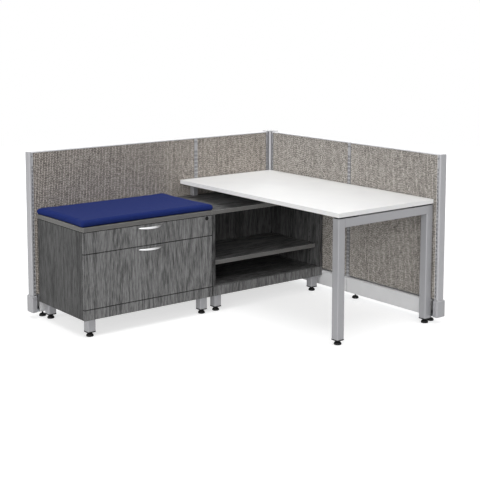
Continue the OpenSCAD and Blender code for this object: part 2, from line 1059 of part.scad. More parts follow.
// Lock, drawn along +Z from the face of the drawer front and laid over
module at_lock(depth) {
  from_corner() translate([lock_x, storage_front + depth, lock_z]) rotate([-90, 0, 0]) children();
}

lock_len = cam_front - storage_front;

module lock_barrel() {
  color(black) at_lock(0) difference() {
    union() {
      translate([0, 0, -bezel_t]) cylinder(d = bezel_d, h = bezel_t);
      cylinder(d = barrel_d, h = lock_len - near);
    }
    translate([0, 0, -bezel_t - cut])
      cylinder(d = plug_d + 2 * plug_clear, h = lock_len + bezel_t + 2 * cut);
  }
}

module lock_plug() {
  color(nickel) at_lock(0) difference() {
    translate([0, 0, -bezel_t]) cylinder(d = plug_d, h = lock_len + bezel_t);
    translate([-key_w / 2, -key_h / 2, -bezel_t - cut]) cube([key_w, key_h, key_depth + cut]);
  }
}

// The cam lies along the front while unlocked and rises behind the strike when turned
module lock_cam() {
  color(zinc) at_lock(lock_len) {
    cylinder(d = cam_w, h = cam_t);
    translate([-cam_reach, -cam_w / 2, 0]) cube([cam_reach, cam_w, cam_t]);
  }
}

module lock_strike() {
  color(zinc) {
    board(
      [strike_right - strike_w, strike_back - strike_t, strike_bottom],
      [strike_right, strike_back, carcass_top]
    );
    board(
      [strike_right - strike_w, strike_back - strike_t, carcass_top - strike_t],
      [strike_right, strike_back + strike_foot, carcass_top]
    );
  }
}

// Open bookcase unit

toe_end_gap = 12;

module open_top() {
  color(laminate) board([open_left, storage_front, carcass_top], [open_right, storage_back, storage_h]);
}

module open_left_side() {
  color(laminate) open_side(open_left, open_left + board_t - pin_in - cut);
}

module open_right_side() {
  color(laminate) open_side(open_right - board_t, open_right - board_t - cut);
}

module open_back() {
  color(laminate) board(
    [open_left + board_t, back_face, toe_top],
    [open_right - board_t, back_face + back_t, carcass_top]
  );
}

module open_bottom() {
  color(laminate) board(
    [open_left + board_t, case_front, toe_top - board_t],
    [open_right - board_t, storage_back, toe_top]
  );
}

module open_toe_rail() {
  color(laminate) board(
    [open_left + toe_end_gap, storage_front, base_z],
    [open_right, case_front, toe_top]
  );
}

shelf_play = 1;

module open_shelf() {
  color(laminate) board(
    [open_left + board_t + shelf_play, storage_front + shelf_inset, shelf_z - board_t],
    [open_right - board_t - shelf_play, back_face - shelf_play, shelf_z]
  );
}

// Four pins under the shelf's ends, two each side
module shelf_pins() {
  color(zinc)
    for (y = pin_places)
      for (x = [open_left + board_t - pin_in, open_right - board_t - pin_out])
        from_corner() translate([x, y, pin_z]) rotate([0, 90, 0])
          cylinder(d = pin_d, h = pin_in + pin_out);
}

// Bases

module storage_feet() {
  color(silver) at_feet() translate([0, 0, foot_bottom]) {
    tube(leg_tube, base_z - foot_bottom);
    translate([0, 0, base_z - foot_bottom - tube_wall])
      linear_extrude(tube_wall) rounded_square(leg_tube, tube_r);
  }
}

// Blocks that carry the unit's bottom on each foot, behind the toe rail
module foot_blocks() {
  color(core_tan)
    for (x = foot_left_places)
      from_corner() {
        translate([x, case_front, base_z])
          cube([leg_tube, block_side, toe_h - board_t]);
        translate([x, storage_back - block_side, base_z])
          cube([leg_tube, block_side, toe_h - board_t]);
      }
}

module tube_caps() {
  middle = leg_tube / 2;
  color(black) at_all_tubes() translate([0, 0, glide_h]) difference() {
    union() {
      translate([-cap_lip, -cap_lip, 0]) linear_extrude(cap_plate)
        rounded_square(leg_tube + 2 * cap_lip, tube_r + cap_lip);
      translate([middle, middle, cap_plate]) cylinder(d = boss_d, h = boss_h);
    }
    translate([middle, middle, -cut])
      cylinder(d = stem_d + 2 * stem_clear, h = cap_plate + boss_h + 2 * cut);
  }
}

module levelling_glides() {
  color(black) at_all_tubes() translate([leg_tube / 2, leg_tube / 2, 0])
    glide(glide_h, cap_plate + boss_h);
}

// Desk

module desk_top() {
  r = desk_corner_r;
  color(white_top) from_corner() translate([desk_left, desk_front, desk_under])
    linear_extrude(desk_t) {
      translate([r, 0]) square([desk_w - 2 * r, desk_l]);
      translate([0, r]) square([desk_w, desk_l - 2 * r]);
      for (x = [r, desk_w - r])
        for (y = [r, desk_l - r])
          translate([x, y]) circle(r = r);
    }
}

module desk_spacers() {
  color(black)
    for (x = [desk_left + spacer_inset, leg_right - spacer_inset - spacer_l])
      from_corner() translate([x, desk_front + spacer_inset, frame_z])
        cube([spacer_l, leg_tube - 2 * spacer_inset, spacer_h]);
}

// End leg: two posts and a top rail, welded
module desk_leg_frame() {
  post_l = frame_z - foot_bottom;
  rail_l = leg_places[1] - leg_places[0] - leg_tube;
  color(silver) from_corner() {
    for (x = leg_places)
      translate([x, desk_front, foot_bottom]) {
        tube(leg_tube, post_l);
        translate([0, 0, post_l - tube_wall])
          linear_extrude(tube_wall) rounded_square(leg_tube, tube_r);
      }
    difference() {
      translate([desk_left + leg_tube - tube_wall, desk_front, frame_z - leg_tube])
        rotate([90, 0, 90]) tube(leg_tube, rail_l + 2 * tube_wall);
      for (x = leg_places)
        translate([x + tube_wall, desk_front + tube_wall, frame_z - leg_tube])
          cube([leg_tube - 2 * tube_wall, leg_tube - 2 * tube_wall, leg_tube]);
    }
  }
}

module desk_risers() {
  overhang = (riser_plate - riser_tube) / 2;
  color(silver)
    for (x = riser_places)
      from_corner() translate([x, desk_back - riser_back - riser_tube, storage_h]) {
        tube(riser_tube, riser_h);
        linear_extrude(tube_wall) rounded_square(riser_tube, tube_r);
        translate([
          -overhang,
          riser_tube - riser_plate,
          riser_h - riser_plate_t
        ]) cube([riser_plate, riser_plate, riser_plate_t]);
      }
}

module seat_cushion() {
  color(blue_fabric) from_corner()
    translate([cushion_left + cushion_w / 2, cushion_front + cushion_d / 2, storage_h + near])
      cushion_solid();
}

back_panel_frames();
right_panel_frames();
back_panel_standards();
right_panel_standards();
panel_cores();
back_wide_tiles();
back_narrow_tiles();
right_rear_tiles();
right_front_tiles();
top_caps();
joint_plates();
corner_post();
corner_cap();
end_trims();
raceway_trays();
raceway_covers();
raceway_corner_cover();
raceway_end_caps();
panel_glides();
lateral_top();
lateral_left_side();
lateral_right_side();
lateral_back();
lateral_bottom();
lateral_toe_rail();
upper_drawer_front();
upper_drawer_box();
upper_handle();
lower_drawer_front();
lower_drawer_box();
lower_handle();
file_rails();
upper_slide_outer();
upper_slide_middle();
upper_slide_inner();
lower_slide_outer();
lower_slide_middle();
lower_slide_inner();
lock_barrel();
lock_plug();
lock_cam();
lock_strike();
open_top();
open_left_side();
open_right_side();
open_back();
open_bottom();
open_toe_rail();
open_shelf();
shelf_pins();
storage_feet();
foot_blocks();
tube_caps();
levelling_glides();
desk_top();
desk_spacers();
desk_leg_frame();
desk_risers();
seat_cushion();
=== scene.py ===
import bmesh
import bpy
import math
from mathutils import Matrix, Vector
from mathutils.bvhtree import BVHTree


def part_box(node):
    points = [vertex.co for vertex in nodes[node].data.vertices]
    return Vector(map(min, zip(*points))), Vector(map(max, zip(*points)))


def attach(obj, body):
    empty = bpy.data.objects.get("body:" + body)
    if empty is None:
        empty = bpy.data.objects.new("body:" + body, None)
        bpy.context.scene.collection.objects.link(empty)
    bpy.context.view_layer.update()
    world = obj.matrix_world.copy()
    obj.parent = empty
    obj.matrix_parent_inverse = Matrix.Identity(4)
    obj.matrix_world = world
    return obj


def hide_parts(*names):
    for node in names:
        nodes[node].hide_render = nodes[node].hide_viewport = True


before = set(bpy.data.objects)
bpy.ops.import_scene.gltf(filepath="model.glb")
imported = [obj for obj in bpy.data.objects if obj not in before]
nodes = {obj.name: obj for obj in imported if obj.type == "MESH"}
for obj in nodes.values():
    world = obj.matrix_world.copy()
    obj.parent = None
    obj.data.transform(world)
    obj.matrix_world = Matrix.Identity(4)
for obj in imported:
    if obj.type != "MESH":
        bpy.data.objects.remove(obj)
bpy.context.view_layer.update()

# Camera. It stands at eye height in front of the open side and looks down a little,
# with a long lens and the frame shifted down as in an architect's view.
for leftover in ("Cube", "Light", "Camera"):
    if leftover in bpy.data.objects:
        bpy.data.objects.remove(bpy.data.objects[leftover])

view_yaw, view_pitch = math.radians(-37.694), math.radians(-7.202)
viewer = bpy.data.objects.new("viewer", bpy.data.cameras.new("viewer"))
bpy.context.scene.collection.objects.link(viewer)
viewer.location = (-3.91248, -5.08697, 1.85099)
viewer.rotation_euler = (math.pi / 2 + view_pitch, 0, view_yaw)
viewer.data.lens = 81.85
viewer.data.sensor_width = 36
viewer.data.shift_x = 0.0072
viewer.data.shift_y = -0.19
viewer.data.clip_end = 60
bpy.context.scene.camera = viewer

# Studio. A pale floor that fades into a white surround, a broad soft lamp overhead, two
# low ones from the front left, which reach in under the desk, and a weak one behind.
bpy.context.scene.view_settings.view_transform = "Standard"


def add(tree, kind, inputs=None, **settings):
    """Adds a shader node. An input that is given a socket is linked, any other value is set."""
    node = tree.nodes.new(kind)
    for key, value in settings.items():
        setattr(node, key, value)
    for key, value in (inputs or {}).items():
        if isinstance(value, bpy.types.NodeSocket):
            tree.links.new(value, node.inputs[key])
        else:
            node.inputs[key].default_value = value
    return node


def maths(tree, operation, first, second=0.5, clamp=False):
    inputs = {0: first} if second is None else {0: first, 1: second}
    return add(tree, "ShaderNodeMath", inputs, operation=operation, use_clamp=clamp).outputs[0]


def seen_directly(tree):
    """1 for what the camera, a reflection or glass sees, 0 for light on its way round the room."""
    path = add(tree, "ShaderNodeLightPath")
    seen = maths(tree, "MAXIMUM", path.outputs["Is Camera Ray"], path.outputs["Is Glossy Ray"])
    return maths(tree, "MAXIMUM", seen, path.outputs["Is Transmission Ray"])


def grey_of(tree, level):
    """A neutral colour of one level."""
    return add(tree, "ShaderNodeCombineColor", {0: level, 1: level, 2: level}).outputs[0]


def studio_world(horizon, zenith):
    """A soft surround that lights the object, and is plain white where it is seen."""
    world = bpy.data.worlds.new("studio")
    world.use_nodes = True
    tree = world.node_tree
    tree.nodes.clear()
    direction = add(tree, "ShaderNodeTexCoord").outputs["Generated"]
    up = add(tree, "ShaderNodeSeparateXYZ", {0: direction}).outputs["Z"]
    height = add(tree, "ShaderNodeMapRange", {"Value": up, "To Min": horizon, "To Max": zenith})
    lit = add(tree, "ShaderNodeBackground", {"Color": (1, 1, 1, 1), "Strength": height.outputs[0]})
    white = add(tree, "ShaderNodeBackground", {"Color": (1, 1, 1, 1), "Strength": 1})
    both = add(tree, "ShaderNodeMixShader", {
        0: seen_directly(tree), 1: lit.outputs[0], 2: white.outputs[0]})
    add(tree, "ShaderNodeOutputWorld", {0: both.outputs[0]})
    bpy.context.scene.world = world


def soft_lamp(name, direction, strength, softness):
    """A far lamp in the given direction. Its softness is the angle that it fills, in degrees."""
    lamp = bpy.data.lights.new(name, "SUN")
    lamp.energy, lamp.angle = strength, math.radians(softness)
    holder = bpy.data.objects.new(name, lamp)
    holder.rotation_mode = "QUATERNION"
    holder.rotation_quaternion = Vector(direction).to_track_quat("Z", "Y")
    bpy.context.scene.collection.objects.link(holder)


def studio_floor(radius, bounce, glow):
    """A pale, faintly mottled disc that fades into the white surround towards its rim."""
    fade_from, fade_to, mottle = 2.4, radius * 0.9, 0.01
    material = bpy.data.materials.new("studio_floor")
    material.use_nodes = True
    tree = material.node_tree
    tree.nodes.clear()
    place = add(tree, "ShaderNodeTexCoord").outputs["Object"]
    away = add(tree, "ShaderNodeVectorMath", {0: place}, operation="LENGTH").outputs["Value"]
    fade = add(tree, "ShaderNodeMapRange", {
        "Value": away, "From Min": fade_from, "From Max": fade_to, "To Min": glow, "To Max": 1})
    shine = maths(tree, "MULTIPLY", fade.outputs[0], seen_directly(tree))
    grain = add(tree, "ShaderNodeTexNoise", {"Vector": place, "Scale": 3, "Detail": 3})
    tone = add(tree, "ShaderNodeMapRange", {
        "Value": grain.outputs[0],
        "To Min": bounce * (1 - mottle), "To Max": bounce * (1 + mottle)})
    surface = add(tree, "ShaderNodeBsdfDiffuse", {"Color": grey_of(tree, tone.outputs[0])})
    lift = add(tree, "ShaderNodeEmission", {"Color": (1, 1, 1, 1), "Strength": shine})
    both = add(tree, "ShaderNodeAddShader", {0: surface.outputs[0], 1: lift.outputs[0]})
    add(tree, "ShaderNodeOutputMaterial", {0: both.outputs[0]})
    shape = bmesh.new()
    bmesh.ops.create_circle(shape, cap_ends=True, radius=radius, segments=96)
    mesh = bpy.data.meshes.new("studio_floor")
    shape.to_mesh(mesh)
    shape.free()
    mesh.materials.append(material)
    floor = bpy.data.objects.new("studio_floor", mesh)
    bpy.context.scene.collection.objects.link(floor)


studio_world(horizon=0.14, zenith=0.16)
soft_lamp("ceiling_lamp", (0.0, -0.15, 1.0), 1.82, 45)
soft_lamp("front_left_lamp", (-0.60, -0.75, 0.30), 1.0, 35)
soft_lamp("left_lamp", (-0.92, -0.25, 0.28), 1.1, 40)
soft_lamp("rear_lamp", (0.70, 0.62, 0.36), 0.7, 50)
studio_floor(radius=9, bounce=0.55, glow=0.65)

# Panel frames and slotted standards: rolled steel ring frames between two standards each,
# punched with bracket slots on both faces, and powder-coated in a satin silver.


def effect(name, inputs, outputs):
    """A shader group with named inputs and outputs, v for a vector and f for a number."""
    tree = bpy.data.node_groups.new(name, "ShaderNodeTree")
    kinds = {"v": "NodeSocketVector", "f": "NodeSocketFloat"}
    for label, kind, value in inputs:
        socket = tree.interface.new_socket(label, in_out="INPUT", socket_type=kinds[kind])
        if value is not None:
            socket.default_value = value
    for label, kind in outputs:
        tree.interface.new_socket(label, in_out="OUTPUT", socket_type=kinds[kind])
    given, gives = tree.nodes.new("NodeGroupInput"), tree.nodes.new("NodeGroupOutput")
    return tree, given.outputs, gives.inputs


def noise_of(tree, place, scale, detail=2.0):
    return add(tree, "ShaderNodeTexNoise", {
        "Vector": place, "Scale": scale, "Detail": detail}).outputs[0]


def blend(tree, share, first, second, how="MIX"):
    return add(tree, "ShaderNodeMix", {0: share, 6: first, 7: second},
               data_type="RGBA", blend_type=how).outputs[2]


def ramp(tree, value, low, high, to_low=0.0, to_high=1.0):
    return add(tree, "ShaderNodeMapRange", {
        "Value": value, "From Min": low, "From Max": high,
        "To Min": to_low, "To Max": to_high}).outputs[0]


def make_edge_wear_and_highlight():
    """A mask along the edges, where a rounded normal leaves the true one, broken up by a noise."""
    tree, given, gives = effect(
        "edge_wear_and_highlight", [("Place", "v", None), ("Width", "f", 0.002), ("Amount", "f", 1.0)],
        [("Mask", "f")])
    rounded = add(tree, "ShaderNodeBevel", {"Radius": given["Width"]}, samples=3)
    true = add(tree, "ShaderNodeNewGeometry")
    dot = add(tree, "ShaderNodeVectorMath", {0: rounded.outputs[0], 1: true.outputs["Normal"]},
              operation="DOT_PRODUCT").outputs["Value"]
    bend = ramp(tree, dot, 0.995, 0.80)
    uneven = ramp(tree, noise_of(tree, given["Place"], 60, 3), 0.35, 0.65, 0.35, 1.0)
    mask = maths(tree, "MULTIPLY", bend, uneven)
    tree.links.new(maths(tree, "MULTIPLY", mask, given["Amount"], clamp=True), gives["Mask"])
    return tree


def make_orange_peel():
    """The fine dimples of sprayed paint or moulded plastic, and a broad faint mottling."""
    tree, given, gives = effect(
        "orange_peel", [("Place", "v", None), ("Scale", "f", 900.0)],
        [("Height", "f"), ("Mottle", "f")])
    tree.links.new(noise_of(tree, given["Place"], given["Scale"], 2), gives["Height"])
    tree.links.new(noise_of(tree, given["Place"], 7, 3), gives["Mottle"])
    return tree


def make_joint_shade():
    """A mask of painted shade, from ambient occlusion, where pieces meet and where an opening leads
    inwards.
    """
    tree, given, gives = effect("joint_shade", [("Reach", "f", 0.006)], [("Mask", "f")])
    shut_in = add(tree, "ShaderNodeAmbientOcclusion", {"Distance": given["Reach"]}, samples=6)
    tree.links.new(ramp(tree, shut_in.outputs["AO"], 0.80, 0.35), gives["Mask"])
    return tree


edge_wear_and_highlight = make_edge_wear_and_highlight()
orange_peel = make_orange_peel()
joint_shade = make_joint_shade()


def new_finish(name):
    """A material with a Principled shader, and the place of each point in the part's own frame."""
    material = bpy.data.materials.new(name)
    material.use_nodes = True
    tree = material.node_tree
    tree.nodes.clear()
    shader = add(tree, "ShaderNodeBsdfPrincipled")
    add(tree, "ShaderNodeOutputMaterial", {0: shader.outputs[0]})
    return material, tree, shader, add(tree, "ShaderNodeTexCoord").outputs["Object"]


def link(tree, shader, **sockets):
    """Feeds the shader's inputs, with _ for the spaces in their names, by link or plain value."""
    for name, value in sockets.items():
        socket = shader.inputs[name.replace("_", " ")]
        if isinstance(value, bpy.types.NodeSocket):
            tree.links.new(value, socket)
        else:
            socket.default_value = value


def bump(tree, height, strength, distance):
    return add(tree, "ShaderNodeBump", {
        "Height": height, "Strength": strength, "Distance": distance}).outputs[0]


def srgb(*levels):
    """A colour written as 0 to 255 levels, in the linear values that a shader takes."""
    linear = [(v / 255 / 12.92) if v <= 10 else ((v / 255 + 0.055) / 1.055) ** 2.4 for v in levels]
    return (*linear, 1)


def paint_joint_shade(tree, colour, joint_shade_colour, amount):
    """Paints shade into a colour where two pieces meet or a slot leads inwards."""
    reach = 0.006
    shut_in = add(tree, "ShaderNodeGroup", {"Reach": reach}, node_tree=joint_shade)
    return blend(tree, maths(tree, "MULTIPLY", shut_in.outputs["Mask"], amount), colour, joint_shade_colour)


def coated(name, colour, metal, gloss, grain=900.0, peel=0.05, wear_and_highlight_colour=(0.85, 0.85, 0.86, 1),
           wear_and_highlight_share=0.25, wear_and_highlight_width=0.0016, shine=0.5):
    """Paint or moulded plastic: a fine orange peel, faint mottling, edges of another colour and
    painted shade in the joints. On the light coats the lighter edge is partly wear and partly a
    painted highlight; the three edge arguments give its colour, how much of it shows and how far it
    reaches."""
    # Near-black colour of the painted shade in joints and slots.
    joint_shade_colour = srgb(16, 16, 17)
    material, tree, shader, place = new_finish(name)
    skin = add(tree, "ShaderNodeGroup", {"Place": place, "Scale": grain}, node_tree=orange_peel)
    # The edge mask: partly worn paint, and on the light coats partly a painted highlight.
    edge_and_slot_marks = add(tree, "ShaderNodeGroup", {
        "Place": place, "Width": wear_and_highlight_width, "Amount": wear_and_highlight_share}, node_tree=edge_wear_and_highlight)
    shade = ramp(tree, skin.outputs["Mottle"], 0.3, 0.7, 0.96, 1.03)
    tinted = blend(tree, 1.0, colour, grey_of(tree, shade), "MULTIPLY")
    base = paint_joint_shade(tree, blend(tree, edge_and_slot_marks.outputs["Mask"], tinted, wear_and_highlight_colour), joint_shade_colour, 0.9)
    rough = ramp(tree, skin.outputs["Mottle"], 0.3, 0.7, gloss - 0.04, gloss + 0.05)
    link(tree, shader, Base_Color=base, Metallic=metal, Roughness=rough, Specular_IOR_Level=shine,
         Normal=bump(tree, skin.outputs["Height"], peel, 0.0004))
    return material


def make_smooth_faces():
    """Geometry nodes that shade every face of a piece smooth."""
    tree = bpy.data.node_groups.new("smooth_faces", "GeometryNodeTree")
    tree.interface.new_socket("Geometry", in_out="INPUT", socket_type="NodeSocketGeometry")
    tree.interface.new_socket("Geometry", in_out="OUTPUT", socket_type="NodeSocketGeometry")
    start, end = tree.nodes.new("NodeGroupInput"), tree.nodes.new("NodeGroupOutput")
    smooth = tree.nodes.new("GeometryNodeSetShadeSmooth")
    tree.links.new(start.outputs[0], smooth.inputs[0])
    tree.links.new(smooth.outputs[0], end.inputs[0])
    return tree


smooth_faces = make_smooth_faces()


def keep_flats_flat(piece, weight):
    """Turns the smooth shading of a piece towards its broad faces, so that these look flat."""
    piece.modifiers.new("shade", "WEIGHTED_NORMAL").weight = weight


def ease_edges(piece, radius, segments=2):
    """Rounds the sharp edges of a hard piece, as cutting, coating or moulding leaves them."""
    same_place, still_flat, sharp = 0.00003, math.radians(0.6), math.radians(35)
    piece.modifiers.new("weld", "WELD").merge_threshold = same_place
    flat = piece.modifiers.new("flat", "DECIMATE")
    flat.decimate_type, flat.angle_limit = "DISSOLVE", still_flat
    round_off = piece.modifiers.new("round_off", "BEVEL")
    round_off.width, round_off.segments = radius, segments
    round_off.limit_method, round_off.angle_limit = "ANGLE", sharp
    piece.modifiers.new("smooth", "NODES").node_group = smooth_faces
    keep_flats_flat(piece, 90)


def dress(names, material, radius=None, segments=2):
    """Gives CAD nodes their finish, and eased edges where the piece has sharp ones."""
    for name in names:
        nodes[name].data.materials.clear()
        nodes[name].data.materials.append(material)
        if radius:
            ease_edges(nodes[name], radius, segments)


def spans_of(node, axis):
    """Lowest and highest place along an axis of each separate upright in a CAD node."""
    apart = 0.03
    spans = []
    for place in sorted({round(vertex.co[axis], 4) for vertex in nodes[node].data.vertices}):
        if spans and place - spans[-1][1] < apart:
            spans[-1][1] = place
        else:
            spans.append([place, place])
    return spans


def slotted_coat(name, colour, axis, centres, first_slot):
    """Silver paint, with painted shade that darkens it round each bracket slot."""
    pitch, half_width, half_length, spread = 0.0254, 0.0019, 0.0070, 0.0020
    slot_shade_grey, slot_shade_share = srgb(46, 46, 48), 0.85
    material = coated(name, colour, 0.3, 0.42)
    tree = material.node_tree
    shader = next(node for node in tree.nodes if node.type == "BSDF_PRINCIPLED")
    place = add(tree, "ShaderNodeTexCoord").outputs["Object"]
    at = add(tree, "ShaderNodeSeparateXYZ", {0: place}).outputs
    off = None
    for centre in centres:
        away = maths(tree, "ABSOLUTE", maths(tree, "SUBTRACT", at[axis], centre), None)
        off = away if off is None else maths(tree, "MINIMUM", off, away)
    down = maths(tree, "SUBTRACT", first_slot, at["Z"])
    turn = maths(tree, "FRACT", maths(tree, "ADD", maths(tree, "DIVIDE", down, pitch), 0.5), None)
    along = maths(tree, "ABSOLUTE", maths(tree, "SUBTRACT", turn, 0.5), None)
    along = maths(tree, "MULTIPLY", along, pitch)
    mask = maths(tree, "MULTIPLY", ramp(tree, off, half_width + spread, half_width),
                 ramp(tree, along, half_length + spread, half_length))
    mask = maths(tree, "MULTIPLY", mask, maths(tree, "GREATER_THAN", down, -pitch / 2))
    # Painted shade: the paint turns dark grey round each slot.
    painted = shader.inputs["Base Color"].links[0].from_socket
    edge_and_slot_marks = blend(tree, maths(tree, "MULTIPLY", mask, slot_shade_share), painted, slot_shade_grey)
    tree.links.new(edge_and_slot_marks, shader.inputs["Base Color"])
    return material


standard_width, slot_centre_drop = 0.013, 0.092
first_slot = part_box("top_caps")[1].z - slot_centre_drop
standard_grey = srgb(178, 178, 181)
silver_coat = coated("satin_silver_coat", srgb(160, 160, 163), 0.35, 0.42)
dress(["back_panel_frames", "right_panel_frames"], silver_coat, 0.0008)
for node, axis, side in (("back_panel_standards", 0, "rear"), ("right_panel_standards", 1, "side")):
    middles = sorted({round(place, 4) for first, last in spans_of(node, axis)
                      for place in (first + standard_width / 2, last - standard_width / 2)})
    dress([node], slotted_coat(
        f"standard_coat_{side}", standard_grey, "XY"[axis], middles, first_slot))

# Webs of the standards: a steel strip pushed into each slotted tube, halfway between its two faces,
# which stops the bracket hooks. Its near-black colour is painted shade, for the dark inside of the
# slots.


def mesh_piece(name, shape, material, smooth=True):
    """Turns a finished bmesh into a piece of the workstation."""
    bmesh.ops.recalc_face_normals(shape, faces=shape.faces)
    mesh = bpy.data.meshes.new(name)
    shape.to_mesh(mesh)
    shape.free()
    mesh.materials.append(material)
    for face in mesh.polygons:
        face.use_smooth = smooth
    piece = bpy.data.objects.new(name, mesh)
    bpy.context.scene.collection.objects.link(piece)
    return piece


def add_block(shape, low, high):
    """Adds a plain block to a bmesh and returns its corners."""
    size = Vector(high) - Vector(low)
    middle = (Vector(high) + Vector(low)) / 2
    at = Matrix.Translation(middle) @ Matrix.Diagonal((*size, 1))
    return bmesh.ops.create_cube(shape, size=1, matrix=at)["verts"]


standard_wall, web_half, web_inset = 0.0016, 0.0006, 0.004
webs = bmesh.new()
for node, along in (("back_panel_standards", 0), ("right_panel_standards", 1)):
    low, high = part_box(node)
    through = 1 - along
    centre = (low[through] + high[through]) / 2
    for first, last in spans_of(node, along):
        for start in sorted({round(first, 4), round(last - standard_width, 4)}):
            corner, opposite = low.copy(), high.copy()
            corner[along] = start + standard_wall
            opposite[along] = start + standard_width - standard_wall
            corner[through], opposite[through] = centre - web_half, centre + web_half
            corner.z, opposite.z = low.z + web_inset, high.z - web_inset
            add_block(webs, corner, opposite)
# Painted shade: the webs are near black, as the inside of the slots is dark.
web_shade_finish = coated("web_painted_shade", srgb(26, 26, 27), 0.0, 0.6, shine=0.2)
strip = mesh_piece("standard_webs", webs, web_shade_finish, smooth=False)
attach(strip, "workstation")

# Core boards: unfinished fibreboard that fills the ring frames behind the tiles, glued in
# where nobody sees it.


def fibreboard(name, colour):
    """Pressed wood fibre with pale chips in it, rough and without any finish."""
    material, tree, shader, place = new_finish(name)
    chips = add(tree, "ShaderNodeTexVoronoi", {"Vector": place, "Scale": 380})
    shade = maths(tree, "MULTIPLY", noise_of(tree, place, 90, 5), chips.outputs["Distance"])
    base = blend(tree, ramp(tree, shade, 0.0, 0.5), colour, srgb(214, 196, 164))
    link(tree, shader, Base_Color=base, Roughness=0.85, Normal=bump(tree, shade, 0.3, 0.0006))
    return material


raw_board = fibreboard("raw_fibreboard", srgb(176, 156, 122))
dress(["panel_cores"], raw_board, 0.0008)

# Fabric tiles: a nubby upholstery stretched over a 12 mm board and rolled round its edges,
# one tile on each face of a panel, snapped onto the ring frame.


def weighted(tree, total, parts):
    """Adds to the total how far each part is from its middle, times its weight."""
    for part, middle, weight in parts:
        swing = maths(tree, "MULTIPLY", maths(tree, "SUBTRACT", part, middle), weight)
        total = maths(tree, "ADD", total, swing)
    return total


def make_nubby_yarns():
    """Upright yarns side by side, each a row of nubs that starts at its own height."""
    tree, given, gives = effect(
        "nubby_yarns", [("Place", "v", None), ("Yarn", "f", 0.0106), ("Nub", "f", 0.0150)],
        [("Tone", "f"), ("Gap", "f"), ("Height", "f")])
    at = add(tree, "ShaderNodeSeparateXYZ", {0: given["Place"]}).outputs
    wander = ramp(tree, noise_of(tree, given["Place"], 80, 2), 0, 1, -0.0035, 0.0035)
    across = maths(tree, "ADD", maths(tree, "ADD", at["X"], at["Y"]), wander)
    column = maths(tree, "DIVIDE", across, given["Yarn"])
    yarn = maths(tree, "FLOOR", column, None)
    start = add(tree, "ShaderNodeTexWhiteNoise", {"W": yarn},
                noise_dimensions="1D").outputs["Value"]
    row = maths(tree, "DIVIDE", at["Z"], given["Nub"])
    row = maths(tree, "ADD", row, maths(tree, "MULTIPLY", start, 9.0))
    uneven = noise_of(tree, given["Place"], 70, 2)
    row = maths(tree, "ADD", row, maths(tree, "MULTIPLY", uneven, 1.8))
    this_nub = add(tree, "ShaderNodeCombineXYZ", {0: yarn, 1: maths(tree, "FLOOR", row, None)})
    cell = add(tree, "ShaderNodeTexWhiteNoise", {"Vector": this_nub.outputs[0]},
               noise_dimensions="2D").outputs["Value"]

    def hump(value):
        """0 at both ends of each step of the value, and 1 halfway."""
        part = maths(tree, "FRACT", value, None)
        arch = maths(tree, "MULTIPLY", part, maths(tree, "SUBTRACT", 1.0, part))
        return maths(tree, "MULTIPLY", arch, 4.0)

    nub = maths(tree, "ADD", maths(tree, "MULTIPLY", hump(row), 0.6), 0.5)
    swell = maths(tree, "MULTIPLY", hump(column), nub)
    hairs = add(tree, "ShaderNodeCombineXYZ", {
        0: maths(tree, "MULTIPLY", across, 1100.0), 1: maths(tree, "MULTIPLY", at["Z"], 420.0)})
    fibre = noise_of(tree, hairs.outputs[0], 1.0, 3)
    # Tone: random flecks, and lighter on the crown of each yarn than at its sides, which is painted
    # highlight and shade of the rounded yarn.
    tone = weighted(tree, 0.5, (
        (swell, 0.60, 1.15), (cell, 0.5, 0.32), (start, 0.5, 0.14), (fibre, 0.5, 1.6)))
    cover = maths(tree, "ADD", swell, maths(tree, "MULTIPLY", fibre, 0.4))
    height = maths(tree, "ADD", swell, maths(tree, "MULTIPLY", fibre, 1.2))
    tree.links.new(tone, gives["Tone"])
    tree.links.new(ramp(tree, cover, 0.55, 0.15), gives["Gap"])
    tree.links.new(height, gives["Height"])
    return tree


nubby_yarns = make_nubby_yarns()


def nubby_fabric(name, dark, middle, light):
    """The cover of the tiles: flecks from dark to light along each yarn, and painted shade between
    the yarns.
    """
    material, tree, shader, place = new_finish(name)
    yarns = add(tree, "ShaderNodeGroup", {"Place": place}, node_tree=nubby_yarns)
    low = blend(tree, ramp(tree, yarns.outputs["Tone"], 0.12, 0.52), dark, middle)
    high = blend(tree, ramp(tree, yarns.outputs["Tone"], 0.52, 0.92), low, light)
    # Painted shade: the colour darkens to the dark tone between the yarns.
    base = blend(tree, maths(tree, "MULTIPLY", yarns.outputs["Gap"], 0.28), high, dark)
    link(tree, shader, Base_Color=base, Roughness=0.92, Specular_IOR_Level=0.2,
         Sheen_Weight=0.12, Sheen_Roughness=0.6,
         Normal=bump(tree, yarns.outputs["Height"], 0.55, 0.0012))
    return material


def wrapped_tile(shape, low, high, roll):
    """A board whose edges are rolled, as the fabric goes round them."""
    corners = add_block(shape, low, high)
    edges = list({edge for corner in corners for edge in corner.link_edges})
    bmesh.ops.bevel(shape, geom=edges, offset=roll, segments=4, profile=0.5, affect="EDGES")


tile_depth, tile_roll = 0.012, 0.0028
